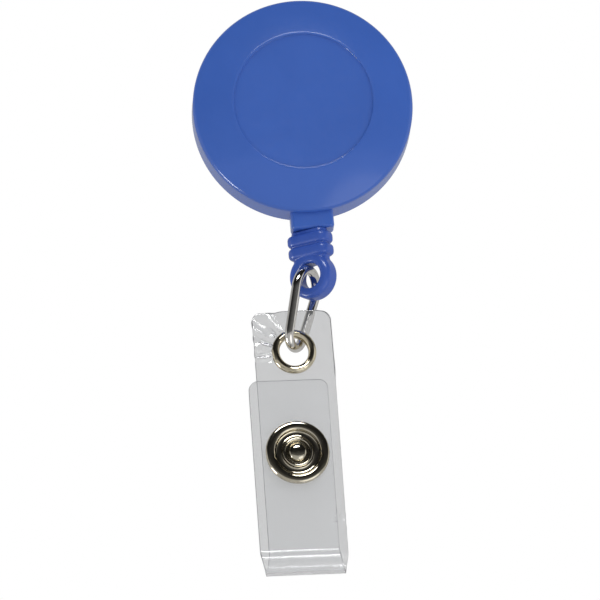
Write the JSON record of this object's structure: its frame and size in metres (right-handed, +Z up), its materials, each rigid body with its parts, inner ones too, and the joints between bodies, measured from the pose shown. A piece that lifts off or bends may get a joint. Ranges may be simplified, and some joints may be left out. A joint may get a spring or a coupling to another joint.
{
  "type": "retractable badge reel",
  "caption": "Round badge reel with a belt clip, a spring-wound cord, a ribbed cord end, a wire link and a clear vinyl strap that closes with a snap.",
  "frame": {"origin": "on the reel's axis, on the face of the belt clip's plate that bears on the belt", "axes": "+Z up, with the cord outlet and strap hanging towards -Z; -Y out of the reel's face; +X to the right seen from the front"},
  "size_m": [0.032, 0.0125, 0.0856],
  "materials": {
    "case_plastic": "smooth glossy moulded ABS, cobalt blue",
    "end_plastic": "softer satin-gloss moulded plastic, slightly deeper blue",
    "spool_plastic": "plain white moulded acetal",
    "spring_steel": "nickel-plated spring steel, fine brushed grain",
    "cord_nylon": "braided nylon cord",
    "wire_nickel": "bright nickel-plated wire",
    "eyelet_nickel": "warm bright nickel",
    "snap_nickel": "bright nickel over a pressed ring pattern",
    "vinyl": "clear flexible vinyl, faintly grey"
  },
  "bodies": {
    "reel_case": {"front_cover": "case_plastic", "rear_case": "case_plastic", "mainspring": "spring_steel", "cord_inner_run": "cord_nylon", "belt_clip_plate": "spring_steel", "clip_rivet": "spring_steel", "rivet_washer": "spring_steel"},
    "spool": {"spool": "spool_plastic", "spool_lid": "spool_plastic", "wound_cord": "cord_nylon"},
    "clip_leaf": {"belt_clip_leaf": "spring_steel"},
    "cord_end": {"cord_outer_run": "cord_nylon", "cord_knot": "cord_nylon"},
    "end_fitting": {"cord_end_fitting": "end_plastic"},
    "link": {"wire_link": "wire_nickel"},
    "strap": {"strap_rear_ply": "vinyl", "strap_fold": "vinyl", "eyelet": "eyelet_nickel", "eyelet_washer": "eyelet_nickel", "snap_stud": "snap_nickel", "snap_stud_cap": "snap_nickel"},
    "flap": {"strap_front_flap": "vinyl", "snap_cap": "snap_nickel", "snap_socket": "snap_nickel", "snap_spring": "snap_nickel"}
  },
  "joints": [
    {"name": "cord_pull", "type": "slide", "parent": "reel_case", "child": "cord_end", "axis": [0, 0, -1], "range_m": [0, 0.864], "stiffness_N_per_m": 1.04, "springref_m": -0.577, "deforming": ["cord_outer_run"]},
    {"name": "spool_spin", "type": "hinge", "parent": "reel_case", "child": "spool", "pos_m": [0, 0, 0], "axis": [0, 1, 0], "range_deg": [0, 4482], "deforming": ["mainspring"]},
    {"name": "fitting_swivel", "type": "hinge", "parent": "cord_end", "child": "end_fitting", "pos_m": [-0.0005, -0.0033, -0.0209], "axis": [0, 0, 1], "range_deg": [-180, 180]},
    {"name": "link_swing", "type": "hinge", "parent": "end_fitting", "child": "link", "pos_m": [-0.00085, -0.0033, -0.0242], "axis": [0.4622, 0.8754, -0.1413], "range_deg": [-65, 35]},
    {"name": "strap_swing", "type": "hinge", "parent": "link", "child": "strap", "pos_m": [-0.00427, -0.0033, -0.03539], "axis": [-0.0872, 0.9962, 0], "range_deg": [-50, 50]},
    {"name": "flap_open", "type": "hinge", "parent": "strap", "child": "flap", "pos_m": [-0.00539, -0.00445, -0.07032], "axis": [0.9961, 0.0871, -0.014], "range_deg": [0, 150], "deforming": ["strap_fold"]},
    {"name": "clip_flex", "type": "hinge", "parent": "reel_case", "child": "clip_leaf", "pos_m": [0, -0.0006, 0.0113], "axis": [1, 0, 0], "range_deg": [0, 6], "stiffness_Nm_per_rad": 0.4}
  ],
  "couplings": [
    {"joint": "spool_spin", "follows": "cord_pull", "rad_per_m": 90.498}
  ]
}
